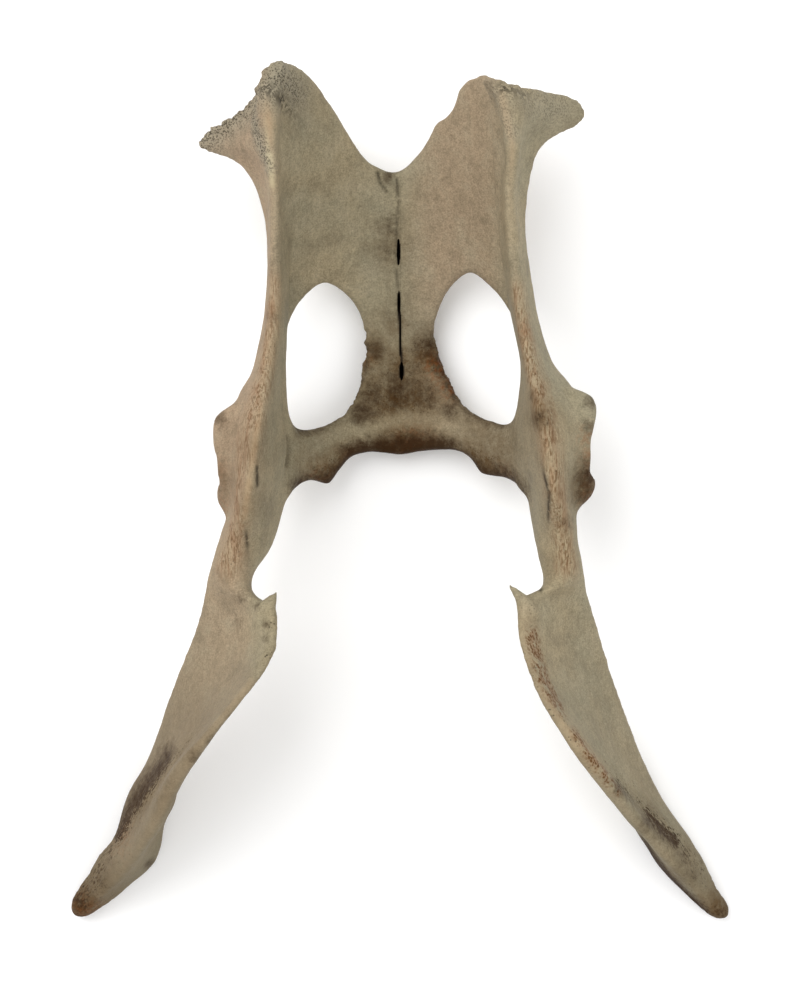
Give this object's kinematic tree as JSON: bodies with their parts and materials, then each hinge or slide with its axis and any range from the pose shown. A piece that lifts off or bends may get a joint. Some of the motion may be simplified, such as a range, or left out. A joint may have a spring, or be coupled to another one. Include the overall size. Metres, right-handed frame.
{
  "type": "deer pelvis",
  "caption": "Still, life-size pelvis of a deer: paired hip bones joined at the symphysis, with sockets, obturator foramina, ischial tubers and flared wings.",
  "frame": {"origin": "middle of the bone's box in plan, at the height of the surface it lies on", "axes": "+X towards the animal's left, +Y towards the tail end (ischial tubers), +Z towards its back"},
  "size_m": [0.203, 0.26, 0.0713],
  "materials": {
    "ilium_bone": "dry weathered bone, matt, grey tan with rusty pores",
    "ischium_bone": "dry weathered bone, matt, tan with orange ridges",
    "pubis_bone": "dry bone with dark brown stain, matt"
  },
  "bodies": {
    "root": {"ilium_left": "ilium_bone", "ischium_left": "ischium_bone", "pubis_left": "pubis_bone", "ilium_right": "ilium_bone", "ischium_right": "ischium_bone", "pubis_right": "pubis_bone"}
  },
  "joints": []
}
